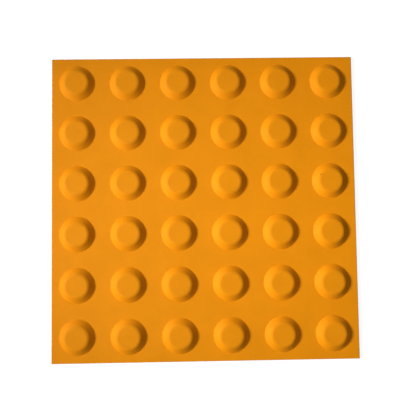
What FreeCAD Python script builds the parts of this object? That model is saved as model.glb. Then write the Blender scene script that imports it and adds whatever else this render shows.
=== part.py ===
"""Tactile paving tile: a square plate moulded in one piece with a grid of flat-topped warning domes.

Millimetres. The origin is the middle of the flat underside, +X and +Y run along the tile's sides,
and +Z points up through the domes.
"""

import FreeCAD
import Part
import Sketcher

import os

# Driving dimensions: the alias of the cell, its value in millimetres, and what it measures.
SIZES = [
    ("tile_length", 300.0, "side of the tile along X"),
    ("tile_width", 300.0, "side of the tile along Y"),
    ("plate_thickness", 3.0, "the plate between the domes"),
    ("plate_edge_radius", 0.5, "rounding of the plate's upper edges and upright corners"),
    ("dome_pitch", 50.0, "centre to centre of neighbouring domes, both ways"),
    ("dome_base_diameter", 35.0, "where the sloping side would meet the plate"),
    ("dome_side_run", 6.0, "how far the sloping side comes in between the plate and the top"),
    ("dome_height", 5.0, "flat top above the plate"),
    ("dome_edge_radius", 5.0, "rounding between the sloping side and the flat top"),
    ("dome_foot_radius", 1.0, "hollow rounding between the plate and the sloping side"),
]

# Every dome owns a square cell one pitch wide, so the tile holds as many domes as whole cells fit each way.
# The millionth keeps an exact fit whole through rounding.
COLUMNS = "floor(sizes.tile_length / sizes.dome_pitch + 0.000001)"
ROWS = "floor(sizes.tile_width / sizes.dome_pitch + 0.000001)"

# Two lengths that differ by less than this are the same.
SAME_LENGTH = 0.001


def make_sheet(doc):
    """The sheet of driving dimensions: what each one measures, beside the cell that holds it."""
    sheet = doc.addObject("Spreadsheet::Sheet", "sizes")
    for row, (alias, value, meaning) in enumerate(SIZES, start=1):
        sheet.set(f"A{row}", meaning)
        sheet.set(f"B{row}", str(value))
        sheet.setAlias(f"B{row}", alias)
    doc.recompute()
    return sheet


def origin_feature(body, role):
    """One of the body's own origin planes or axes."""
    return next(feature for feature in body.Origin.OriginFeatures if feature.Role == role)


def add_sketch(body, plane, name):
    """An empty sketch on one of the body's origin planes."""
    sketch = body.newObject("Sketcher::SketchObject", name)
    sketch.AttachmentSupport = (origin_feature(body, plane), [""])
    sketch.MapMode = "FlatFace"
    return sketch


def add_outline(sketch, corners):
    """A closed outline of straight lines through the corners, each line's end on the next one's start."""
    lines = []
    for start, end in zip(corners, corners[1:] + corners[:1]):
        segment = Part.LineSegment(FreeCAD.Vector(*start, 0), FreeCAD.Vector(*end, 0))
        lines.append(sketch.addGeometry(segment, False))
    for line, following in zip(lines, lines[1:] + lines[:1]):
        sketch.addConstraint(Sketcher.Constraint("Coincident", line, 2, following, 1))
    return lines


def add_dimension(sketch, kind, first, second, name, formula):
    """A distance that follows the sheet, between two points: each a line and which of its ends."""
    apart = sketch.getPoint(*second) - sketch.getPoint(*first)
    drawn = apart.x if kind == "DistanceX" else apart.y
    index = sketch.addConstraint(Sketcher.Constraint(kind, *first, *second, drawn))
    sketch.renameConstraint(index, name)
    sketch.setExpression(f"Constraints.{name}", formula)


def make_plate(body, sheet):
    """The flat plate, centred on the origin, with its underside at Z 0."""
    half_length = sheet.tile_length / 2
    half_width = sheet.tile_width / 2
    sketch = add_sketch(body, "XY_Plane", "plate_outline")
    front, right, back, left = add_outline(
        sketch,
        [
            (-half_length, -half_width),
            (half_length, -half_width),
            (half_length, half_width),
            (-half_length, half_width),
        ],
    )
    for line in (front, back):
        sketch.addConstraint(Sketcher.Constraint("Horizontal", line))
    for line in (right, left):
        sketch.addConstraint(Sketcher.Constraint("Vertical", line))
    sketch.addConstraint(Sketcher.Constraint("Symmetric", front, 1, back, 1, -1, 1))
    add_dimension(sketch, "DistanceX", (front, 1), (front, 2), "length", "sizes.tile_length")
    add_dimension(sketch, "DistanceY", (right, 1), (right, 2), "width", "sizes.tile_width")

    plate = body.newObject("PartDesign::Pad", "plate")
    plate.Profile = sketch
    plate.setExpression("Length", "sizes.plate_thickness")


def make_corner_dome(body, sheet):
    """The dome in the -X, -Y corner: half its section, stood on the plate and turned about its own axis."""
    base_radius = sheet.dome_base_diameter / 2
    top_radius = base_radius - sheet.dome_side_run
    sketch = add_sketch(body, "XZ_Plane", "dome_section")
    sketch.setExpression(".AttachmentOffset.Base.x", f"-({COLUMNS} - 1) * sizes.dome_pitch / 2")
    sketch.setExpression(".AttachmentOffset.Base.y", "sizes.plate_thickness")
    sketch.setExpression(".AttachmentOffset.Base.z", f"({ROWS} - 1) * sizes.dome_pitch / 2")
    base, side, top, axis = add_outline(
        sketch,
        [(0, 0), (base_radius, 0), (top_radius, sheet.dome_height), (0, sheet.dome_height)],
    )
    sketch.addConstraint(Sketcher.Constraint("Coincident", base, 1, -1, 1))
    for line in (base, top):
        sketch.addConstraint(Sketcher.Constraint("Horizontal", line))
    sketch.addConstraint(Sketcher.Constraint("Vertical", axis))
    add_dimension(sketch, "DistanceX", (base, 1), (base, 2), "base_radius", "sizes.dome_base_diameter / 2")
    add_dimension(sketch, "DistanceX", (side, 2), (side, 1), "side_run", "sizes.dome_side_run")
    add_dimension(sketch, "DistanceY", (side, 1), (side, 2), "height", "sizes.dome_height")

    dome = body.newObject("PartDesign::Revolution", "corner_dome")
    dome.Profile = sketch
    dome.ReferenceAxis = (sketch, ["V_Axis"])
    dome.Angle = 360
    return dome


def repeat_domes(body, dome):
    """The grid of domes, one pitch apart along both sides."""
    grid = body.newObject("PartDesign::LinearPattern", "dome_grid")
    grid.Originals = [dome]
    grid.Direction = (origin_feature(body, "X_Axis"), [""])
    grid.Direction2 = (origin_feature(body, "Y_Axis"), [""])
    grid.Mode = "Extent"
    grid.Mode2 = "Extent"
    grid.setExpression("Length", f"({COLUMNS} - 1) * sizes.dome_pitch")
    grid.setExpression("Length2", f"({ROWS} - 1) * sizes.dome_pitch")
    grid.setExpression("Occurrences", COLUMNS)
    grid.setExpression("Occurrences2", ROWS)
    body.Tip = grid
    return grid


def circle_at(radius, height):
    """A test for a round edge of that radius, lying flat at that height."""

    def is_chosen(edge):
        curve = edge.Curve
        return (
            isinstance(curve, Part.Circle)
            and abs(curve.Radius - radius) < SAME_LENGTH
            and abs(curve.Center.z - height) < SAME_LENGTH
        )

    return is_chosen


def is_upper_plate_edge(edge):
    """A straight edge that isn't all on the underside: the plate's four upper edges and four upright ones."""
    return isinstance(edge.Curve, Part.Line) and edge.BoundBox.ZMax > SAME_LENGTH


def round_edges(body, feature, is_chosen, radius_alias, name):
    """A fillet on the feature's edges that is_chosen picks, with its radius from the sheet."""
    edges = enumerate(feature.Shape.Edges, start=1)
    fillet = body.newObject("PartDesign::Fillet", name)
    fillet.Base = (feature, [f"Edge{number}" for number, edge in edges if is_chosen(edge)])
    fillet.setExpression("Radius", f"sizes.{radius_alias}")
    body.Tip = fillet
    return fillet


def make_tile(doc, sheet):
    """The whole tile, one solid: plate, dome grid, then the roundings that the mould gives its edges."""
    body = doc.addObject("PartDesign::Body", "tactile_tile")
    body.Label = "tactile_tile"
    make_plate(body, sheet)
    dome = make_corner_dome(body, sheet)
    doc.recompute()
    feature = repeat_domes(body, dome)
    doc.recompute()

    base_radius = sheet.dome_base_diameter / 2
    top_radius = base_radius - sheet.dome_side_run
    plate_top = sheet.plate_thickness
    dome_top = plate_top + sheet.dome_height
    for is_chosen, radius_alias, name in [
        (circle_at(top_radius, dome_top), "dome_edge_radius", "dome_edges"),
        (circle_at(base_radius, plate_top), "dome_foot_radius", "dome_feet"),
        (is_upper_plate_edge, "plate_edge_radius", "plate_edges"),
    ]:
        feature = round_edges(body, feature, is_chosen, radius_alias, name)
        doc.recompute()
    return body


def check(doc, tile):
    """Stops the build where an object failed to recompute, or the tile isn't one solid with all its domes."""
    for item in doc.Objects:
        if {"Invalid", "Error"} & set(item.State):
            raise RuntimeError(f"{item.Label} failed to build: {item.State}")
    shape = tile.Shape
    if shape.isNull() or not shape.isValid() or len(shape.Solids) != 1:
        raise RuntimeError(f"{tile.Label} is not one valid solid")
    grid = doc.getObject("dome_grid")
    dome_count = grid.Occurrences * grid.Occurrences2
    flat_tops = [face for face in shape.Faces if face.BoundBox.ZMin > shape.BoundBox.ZMax - SAME_LENGTH]
    if len(flat_tops) != dome_count:
        raise RuntimeError(f"{tile.Label} has {len(flat_tops)} dome tops, not {dome_count}")
    print(f"{tile.Label}: {dome_count} domes, {shape.Volume / 1000:.1f} cm3, {len(shape.Faces)} faces")


def main():
    doc = FreeCAD.newDocument("tactile_tile")
    sheet = make_sheet(doc)
    tile = make_tile(doc, sheet)
    check(doc, tile)
    os.makedirs("parts", exist_ok=True)
    tile.Shape.exportStep(f"parts/{tile.Label}.step")


main()
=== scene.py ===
# %% [markdown]
# # A tactile paving tile
#
# The object is a square warning tile for pavements and platforms: a thin plate with rows of
# flat-topped domes that are felt underfoot and by cane. It is moulded in one piece from coloured
# polyurethane, so this lesson models one mesh and gives it one finish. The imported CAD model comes
# first, because every size here is taken from it or repeats a size that it was built with. All
# lengths in Blender are metres.

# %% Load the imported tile
import math

import bmesh
import bpy
from mathutils import Euler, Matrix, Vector


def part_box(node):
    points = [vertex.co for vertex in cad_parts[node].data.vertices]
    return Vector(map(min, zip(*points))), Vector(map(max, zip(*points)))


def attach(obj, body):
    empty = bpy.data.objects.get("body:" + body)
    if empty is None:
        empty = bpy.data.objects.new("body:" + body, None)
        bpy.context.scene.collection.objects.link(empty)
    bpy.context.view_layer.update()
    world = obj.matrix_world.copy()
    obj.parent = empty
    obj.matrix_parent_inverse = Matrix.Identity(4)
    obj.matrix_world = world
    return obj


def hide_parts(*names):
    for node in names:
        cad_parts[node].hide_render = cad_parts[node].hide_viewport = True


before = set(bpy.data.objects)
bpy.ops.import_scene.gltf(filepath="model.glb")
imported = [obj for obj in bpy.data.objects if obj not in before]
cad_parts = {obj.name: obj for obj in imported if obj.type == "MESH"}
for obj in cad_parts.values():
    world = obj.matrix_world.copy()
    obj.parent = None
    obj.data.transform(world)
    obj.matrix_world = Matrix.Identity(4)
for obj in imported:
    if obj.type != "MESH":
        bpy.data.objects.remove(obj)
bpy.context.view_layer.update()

MM = 0.001
scene = bpy.context.scene
tile_low, tile_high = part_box("tactile_tile")
tile_side = tile_high.x - tile_low.x
tile_height = tile_high.z - tile_low.z
print(f"tile {tile_side / MM:.1f} mm square, {tile_height / MM:.1f} mm high over the domes")

# %% [markdown]
# ## The camera
#
# The tile was seen from almost straight above, from about half a metre, slightly below its middle.
# A long lens from far away would be easier to place, but it would lose the perspective that turns
# the far domes a little. So the camera stands where the measured tilt of the tile's sides puts it,
# with a lens close to a normal one. Its three turns are small and in radians.

# %% Place the camera
camera_height = 477 * MM
camera_data = bpy.data.cameras.new("overhead_camera")
camera_data.sensor_width = 36
camera_data.lens = 41.2
camera_data.clip_start = 10 * MM
camera = bpy.data.objects.new("overhead_camera", camera_data)
camera.location = (-1.59 * MM, -26.65 * MM, camera_height)
camera_pitch, camera_lean, camera_roll = 0.05075, -0.01453, -0.01457
camera.rotation_euler = Euler((camera_pitch, camera_lean, camera_roll))
scene.collection.objects.link(camera)
scene.camera = camera
print(f"camera {camera_height / MM:.0f} mm above the floor")

# %% [markdown]
# ## One dome
#
# A dome is a shape of revolution: a flat top, a side that slopes at about forty degrees, and the
# plate around its foot. It could be made from a cone primitive, but turning the section keeps every
# size in view. The section below has only its corners. Spin turns it round, and bevel then rounds
# the two corners as the mould does: broadly at the top, so that no toe catches, and tightly in the
# hollow at the foot. The two extra points close to the rounded corners keep the flat faces beside
# them shaded flat.

# %% Sizes of a dome
plate_top = 3.0 * MM
dome_top = tile_high.z
dome_pitch = 50.0 * MM
dome_base_radius = 35.0 / 2 * MM
dome_side_run = 6.0 * MM
dome_top_radius = dome_base_radius - dome_side_run
dome_edge_radius = 5.0 * MM
dome_foot_radius = 1.0 * MM
dome_segments = 64
edge_segments = 8
foot_segments = 5

side_slope = math.atan2(dome_top - plate_top, dome_side_run)
edge_setback = dome_edge_radius * math.tan(side_slope / 2)
foot_setback = dome_foot_radius * math.tan(side_slope / 2)
flat_margin = 0.4 * MM
print(f"dome side slopes {math.degrees(side_slope):.1f} degrees")

# %% Turn the section
tile = bmesh.new()
section = [
    (0, dome_top),
    (dome_top_radius - edge_setback - flat_margin, dome_top),
    (dome_top_radius, dome_top),
    (dome_base_radius, plate_top),
    (dome_base_radius + foot_setback + flat_margin, plate_top),
]
corners = [tile.verts.new((radius, 0, height)) for radius, height in section]
lines = [tile.edges.new(pair) for pair in zip(corners, corners[1:])]
bmesh.ops.spin(
    tile,
    geom=corners + lines,
    cent=(0, 0, 0),
    axis=(0, 0, 1),
    angle=math.tau,
    steps=dome_segments,
    use_merge=True,
)
same_point = 0.01 * MM
bmesh.ops.remove_doubles(tile, verts=tile.verts, dist=same_point)
bmesh.ops.recalc_face_normals(tile, faces=tile.faces)
print(f"turned section: {len(tile.faces)} faces")


# %% Round the dome's two corners
def ring(radius, height):
    """The edges of the level ring at that radius and height."""

    def is_on(vert):
        right_radius = abs(vert.co.xy.length - radius) < same_point
        return right_radius and abs(vert.co.z - height) < same_point

    return [edge for edge in tile.edges if all(is_on(vert) for vert in edge.verts)]


for radius, height, setback, segments in [
    (dome_top_radius, dome_top, edge_setback, edge_segments),
    (dome_base_radius, plate_top, foot_setback, foot_segments),
]:
    bmesh.ops.bevel(
        tile,
        geom=ring(radius, height),
        offset=setback,
        offset_type="OFFSET",
        segments=segments,
        profile=0.5,
        affect="EDGES",
        material=-1,
    )
print(f"one dome: {len(tile.faces)} faces")

# %% [markdown]
# ## From one dome to the whole plate
#
# Every dome stands in the middle of a square cell one pitch wide. The outer ring of the dome is
# extruded and each new point is pushed out to the edge of that square, so that neighbouring cells
# meet point to point. Copies of the cell then fill the plate and their seams are merged. A boolean
# union of a plate and many domes would do it too, but it leaves long thin faces that shade badly.

# %% Widen the dome to its square cell
rim = [edge for edge in tile.edges if edge.is_boundary]
widened = bmesh.ops.extrude_edge_only(tile, edges=rim)["geom"]
for vert in widened:
    if isinstance(vert, bmesh.types.BMVert):
        reach = dome_pitch / 2 / max(abs(vert.co.x), abs(vert.co.y))
        vert.co.x *= reach
        vert.co.y *= reach
print(f"one cell: {len(tile.faces)} faces")

# %% Repeat the cell over the plate
domes_a_side = round(tile_side / dome_pitch)
first_centre = -(domes_a_side - 1) * dome_pitch / 2
bmesh.ops.translate(tile, verts=tile.verts, vec=(first_centre, first_centre, 0))
for step in (Vector((dome_pitch, 0, 0)), Vector((0, dome_pitch, 0))):
    row = tile.verts[:] + tile.edges[:] + tile.faces[:]
    for number in range(1, domes_a_side):
        copied = bmesh.ops.duplicate(tile, geom=row)["geom"]
        copied_verts = [item for item in copied if isinstance(item, bmesh.types.BMVert)]
        bmesh.ops.translate(tile, verts=copied_verts, vec=step * number)
bmesh.ops.remove_doubles(tile, verts=tile.verts, dist=same_point)
bmesh.ops.recalc_face_normals(tile, faces=tile.faces)
print(f"{domes_a_side} by {domes_a_side} domes: {len(tile.faces)} faces")

# %% [markdown]
# ## The plate's sides and underside
#
# The plate is thin, with square sides, a flat underside and only a slight rounding where the
# mould's edge was. A narrow inset strip along the border keeps the top flat beside that rounding.
# The border is then extruded down to the floor, the underside is closed with one flat face, and
# bevel rounds the upper edges and the upright corners.

# %% Close the plate
plate_edge_radius = 0.5 * MM
bmesh.ops.inset_region(
    tile,
    faces=tile.faces,
    thickness=plate_edge_radius + flat_margin,
    use_boundary=True,
    use_even_offset=True,
)
for face in tile.faces:
    face.smooth = True
border = [edge for edge in tile.edges if edge.is_boundary]
walls = bmesh.ops.extrude_edge_only(tile, edges=border)["geom"]
wall_verts = [item for item in walls if isinstance(item, bmesh.types.BMVert)]
bmesh.ops.translate(tile, verts=wall_verts, vec=(0, 0, tile_low.z - plate_top))
underside_edges = [edge for edge in tile.edges if edge.is_boundary]
bmesh.ops.contextual_create(tile, geom=underside_edges)
bmesh.ops.recalc_face_normals(tile, faces=tile.faces)
print(f"sides and underside: {len(underside_edges) + 1} faces")

# %% Round the plate's upper edges and corners
half_side = tile_side / 2
plate_edge_segments = 3


def is_corner_upright(edge):
    """One of the four upright edges at the corners of the plate."""
    return all(abs(abs(x) - half_side) < same_point for vert in edge.verts for x in vert.co.xy)


uprights = [edge for edge in tile.edges if is_corner_upright(edge)]
bmesh.ops.bevel(
    tile,
    geom=border + uprights,
    offset=plate_edge_radius,
    offset_type="OFFSET",
    segments=plate_edge_segments,
    profile=0.5,
    affect="EDGES",
    material=-1,
)
open_edges = sum(edge.is_boundary for edge in tile.edges)
print(f"closed tile: {len(tile.faces)} faces, {open_edges} open edges")

# %% [markdown]
# The whole tile is shaded smooth, which suits its roundings. The lower edge is the one that the
# mould leaves square, so it is marked as a sharp one: without that, the flat underside would be
# shaded as if it curled up at its sides.

# %% Keep the lower edge crisp
lower_edges = [
    edge for edge in tile.edges if all(abs(vert.co.z - tile_low.z) < same_point for vert in edge.verts)
]
for edge in lower_edges:
    edge.smooth = False
print(f"lower edge: {len(lower_edges)} sharp pieces")

# %% Make the tile an object
tile_mesh = bpy.data.meshes.new("moulded_tile")
tile.to_mesh(tile_mesh)
tile.free()
moulded_tile = bpy.data.objects.new("moulded_tile", tile_mesh)
scene.collection.objects.link(moulded_tile)
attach(moulded_tile, "root")
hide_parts("tactile_tile")
print(f"{sum(len(polygon.vertices) - 2 for polygon in tile_mesh.polygons)} triangles")


# %% [markdown]
# ## Finishes
#
# Colours are written as sRGB hex values and turned to linear ones by one function, because shaders
# work in linear light. One more function adds a node with its settings and links.

# %% Helpers for the finishes
def linear_colour(hex_code):
    """An sRGB hex colour as linear red, green, blue and alpha."""
    shares = [int(hex_code[start:start + 2], 16) / 255 for start in (1, 3, 5)]
    return [s / 12.92 if s <= 0.04045 else ((s + 0.055) / 1.055) ** 2.4 for s in shares] + [1.0]


def add_node(tree, kind, settings=None, links=None):
    """A new node: settings fill its properties or inputs, and links feed its inputs from sockets."""
    node = tree.nodes.new(kind)
    for name, value in (settings or {}).items():
        if isinstance(name, str) and hasattr(node, name):
            setattr(node, name, value)
        else:
            node.inputs[name].default_value = value
    for name, source in (links or {}).items():
        tree.links.new(source, node.inputs[name])
    return node


# A Mix node that mixes colours has its two colours and its result at these places.
MIX_FIRST, MIX_SECOND, MIX_RESULT = 6, 7, 2

# %% [markdown]
# ## Moulded polyurethane
#
# The tile is cast polyurethane, coloured all the way through, and the mould gives it a dense matte
# skin. To the eye that is one saturated orange-yellow with a soft sheen and no sharp highlight. One
# plain colour would look like a computer's, so the faint things that a real skin has are added:
# clouds where the pigment mixed unevenly, a grain in the sheen, and the slight unevenness that the
# mould left. All of them read Object coordinates, so that they stay on the tile, and each scale is
# one divided by a real size.

# %% Start the polyurethane
polyurethane = bpy.data.materials.new("moulded_polyurethane")
polyurethane.use_nodes = True
skin = polyurethane.node_tree
shader = skin.nodes["Principled BSDF"]
shader.inputs["IOR"].default_value = 1.5
# Smooth polyurethane would be at 0.5. The matte skin breaks up most of that mirror-like share.
shader.inputs["Specular IOR Level"].default_value = 0.12
tile_place = add_node(skin, "ShaderNodeTexCoord").outputs["Object"]
tile_mesh.materials.append(polyurethane)
print(f"finish {polyurethane.name}")

# %% Clouds of pigment
# Nearly all of a noise lies between these two values.
noise_span = {"From Min": 0.3, "From Max": 0.7}
cloud_size = 35 * MM
clouds = add_node(
    skin,
    "ShaderNodeTexNoise",
    {"Scale": 1 / cloud_size, "Detail": 5, "Roughness": 0.65},
    {"Vector": tile_place},
)
cloud_share = add_node(skin, "ShaderNodeMapRange", noise_span, {"Value": clouds.outputs["Fac"]})
lean_colour = linear_colour("#E58C02")
rich_colour = linear_colour("#EF9205")
pigment = add_node(
    skin,
    "ShaderNodeMix",
    {"data_type": "RGBA", MIX_FIRST: lean_colour, MIX_SECOND: rich_colour},
    {0: cloud_share.outputs["Result"]},
)
print(f"pigment clouds {cloud_size / MM:.0f} mm across")

# %% [markdown]
# One small mark shows on the tile: a dark speck about a millimetre wide on the rounded edge of one
# dome. It could be a tiny piece of its own, but it is flat, so it is only colour: a distance to that
# point, turned into a share, mixes a darker colour in.

# %% One small mark
mark_place = Vector((115.4, 30.8, 7.75)) * MM
mark_radius = 0.5 * MM
mark_fades_out = 0.8 * MM
mark_colour = linear_colour("#874A02")
mark_distance = add_node(
    skin,
    "ShaderNodeVectorMath",
    {"operation": "DISTANCE", 1: mark_place},
    {0: tile_place},
)
mark_share = add_node(
    skin,
    "ShaderNodeMapRange",
    {"From Min": mark_radius, "From Max": mark_fades_out, "To Min": 1, "To Max": 0},
    {"Value": mark_distance.outputs["Value"]},
)
marked = add_node(
    skin,
    "ShaderNodeMix",
    {"data_type": "RGBA", MIX_SECOND: mark_colour},
    {0: mark_share.outputs["Result"], MIX_FIRST: pigment.outputs[MIX_RESULT]},
)
skin.links.new(marked.outputs[MIX_RESULT], shader.inputs["Base Color"])
print(f"mark {2 * mark_radius / MM:.0f} mm wide")

# %% [markdown]
# The sheen is uneven at the scale of the mould's blasted surface, about a third of a millimetre.
# That is finer than a pixel here, so the grain is drawn four times coarser, and kept shallow.

# %% Grain of the skin
grain_size = 1.4 * MM
grain_depth = 0.02 * MM
glossiest, dullest = 0.64, 0.76
grain = add_node(
    skin,
    "ShaderNodeTexNoise",
    {"Scale": 1 / grain_size, "Detail": 2, "Roughness": 0.5},
    {"Vector": tile_place},
)
sheen = add_node(
    skin,
    "ShaderNodeMapRange",
    {**noise_span, "To Min": glossiest, "To Max": dullest},
    {"Value": grain.outputs["Fac"]},
)
unevenness = add_node(
    skin,
    "ShaderNodeBump",
    {"Strength": 0.5, "Distance": grain_depth},
    {"Height": grain.outputs["Fac"]},
)
skin.links.new(sheen.outputs["Result"], shader.inputs["Roughness"])
skin.links.new(unevenness.outputs["Normal"], shader.inputs["Normal"])
print(f"skin grain {grain_size / MM:.1f} mm wide, {grain_depth / MM:.2f} mm deep")

# %% [markdown]
# ## Light
#
# The main softbox stands to the left, about thirty-six degrees up. It draws the bright crescent on
# the left of every dome and leaves the dark one on the right. A lamp this near would light the left
# side of the tile twice as strongly as the right, so it has a grid, which is what a small spread
# is, and it is aimed past the far side: each side of the tile then gets about the same. A weak even
# light from all around keeps the dark crescents from going black. A second softbox lies under the
# tile and lights only its underside, because the floor keeps that light from everything above.

# %% Softboxes
def add_softbox(name, place, aimed_at, sides, spread, watts):
    """A rectangular lamp that the camera doesn't see, turned towards a point."""
    lamp_data = bpy.data.lights.new(name, "AREA")
    lamp_data.shape = "RECTANGLE"
    lamp_data.size, lamp_data.size_y = sides
    lamp_data.spread = math.radians(spread)
    lamp_data.energy = watts
    lamp = bpy.data.objects.new(name, lamp_data)
    lamp.location = place
    lamp.rotation_euler = (Vector(aimed_at) - lamp.location).to_track_quat("-Z", "Y").to_euler()
    lamp.visible_camera = False
    scene.collection.objects.link(lamp)
    print(f"{name} {lamp.location.length:.2f} m from the tile")


add_softbox(
    "left_softbox",
    place=(-0.893, -0.005, 0.650),
    aimed_at=(0.218, -0.020, 0),
    sides=(0.36, 0.26),
    spread=44,
    watts=1.33,
)
add_softbox(
    "lower_softbox",
    place=(0, 0, -0.9),
    aimed_at=(0, 0, 0),
    sides=(1.2, 1.2),
    spread=180,
    watts=10,
)


# %% [markdown]
# ## Background and floor
#
# The tile is shown on plain white. More light would burn the tile out before the floor turned
# white, so the floor and the surroundings give their own white, but only to rays that come from the
# camera, from a reflection or through something clear. All other rays see the weak even light and a
# pale floor. Near the tile, what the floor adds itself stops a little short of white, so that the
# tile's shadow still shows. Further out it rises to white, so that no horizon shows in low views.
# From below, the floor is clear, and it is open under the tile, so that the underside gets light too.

# %% White for the camera
def shown_directly(tree):
    """A socket that is 1 for rays from the camera, from a reflection or through something clear."""
    rays = add_node(tree, "ShaderNodeLightPath").outputs
    shown = rays["Is Camera Ray"]
    for kind in ("Is Glossy Ray", "Is Transmission Ray"):
        either = add_node(tree, "ShaderNodeMath", {"operation": "MAXIMUM"}, {0: shown, 1: rays[kind]})
        shown = either.outputs[0]
    return shown


white = linear_colour("#FFFFFF")
world = bpy.data.worlds.new("white_surroundings")
scene.world = world
world.use_nodes = True
surroundings = world.node_tree
even_light = surroundings.nodes["Background"]
even_light.inputs["Color"].default_value = white
even_light.inputs["Strength"].default_value = 0.185
white_view = add_node(surroundings, "ShaderNodeBackground", {"Color": white, "Strength": 1})
sky = add_node(
    surroundings,
    "ShaderNodeMixShader",
    None,
    {0: shown_directly(surroundings), 1: even_light.outputs[0], 2: white_view.outputs[0]},
)
surroundings.links.new(sky.outputs[0], surroundings.nodes["World Output"].inputs["Surface"])
print(f"surroundings {world.name}")

# %% Floor
floor_half_side = 6.0
floor_gap = 0.1 * MM
covered_by_tile = 2 * MM
opening_half_side = half_side - covered_by_tile
floor_form = bmesh.new()
bmesh.ops.create_grid(floor_form, x_segments=1, y_segments=1, size=floor_half_side)
bmesh.ops.inset_region(
    floor_form,
    faces=floor_form.faces,
    thickness=floor_half_side - opening_half_side,
    use_boundary=True,
    use_even_offset=True,
)
under_tile = min(floor_form.faces, key=lambda face: face.calc_area())
bmesh.ops.delete(floor_form, geom=[under_tile], context="FACES")
bmesh.ops.translate(floor_form, verts=floor_form.verts, vec=(0, 0, tile_low.z - floor_gap))
floor_mesh = bpy.data.meshes.new("floor")
floor_form.to_mesh(floor_mesh)
floor_form.free()
floor = bpy.data.objects.new("floor", floor_mesh)
scene.collection.objects.link(floor)
print(f"floor {2 * floor_half_side:.0f} m square")

# %% White of the floor
white_floor = bpy.data.materials.new("white_floor")
white_floor.use_nodes = True
floor_skin = white_floor.node_tree
floor_skin.nodes.remove(floor_skin.nodes["Principled BSDF"])
floor_colour = linear_colour("#7C7C7C")
pale = add_node(floor_skin, "ShaderNodeBsdfDiffuse", {"Color": floor_colour})
floor_place = add_node(floor_skin, "ShaderNodeTexCoord").outputs["Object"]
way_out = add_node(floor_skin, "ShaderNodeVectorMath", {"operation": "LENGTH"}, {0: floor_place})
white_near_tile = 0.9
white_starts_to_rise = 0.22
white_is_full = 0.6
whiteness = add_node(
    floor_skin,
    "ShaderNodeMapRange",
    {
        "From Min": white_starts_to_rise,
        "From Max": white_is_full,
        "To Min": white_near_tile,
        "To Max": 1,
    },
    {"Value": way_out.outputs["Value"]},
)
glow_strength = add_node(
    floor_skin,
    "ShaderNodeMath",
    {"operation": "MULTIPLY"},
    {0: shown_directly(floor_skin), 1: whiteness.outputs["Result"]},
)
glow = add_node(
    floor_skin,
    "ShaderNodeEmission",
    {"Color": white},
    {"Strength": glow_strength.outputs[0]},
)
lit = add_node(floor_skin, "ShaderNodeAddShader", None, {0: pale.outputs[0], 1: glow.outputs[0]})
clear = add_node(floor_skin, "ShaderNodeBsdfTransparent")
from_below = add_node(floor_skin, "ShaderNodeNewGeometry").outputs["Backfacing"]
one_sided = add_node(
    floor_skin,
    "ShaderNodeMixShader",
    None,
    {0: from_below, 1: lit.outputs[0], 2: clear.outputs[0]},
)
floor_skin.links.new(one_sided.outputs[0], floor_skin.nodes["Material Output"].inputs["Surface"])
floor_mesh.materials.append(white_floor)
print(f"floor finish {white_floor.name}")

# %% [markdown]
# ## Last steps
#
# The view is left at Standard, so that a colour shows as it was written.

# %% Finish
scene.view_settings.view_transform = "Standard"
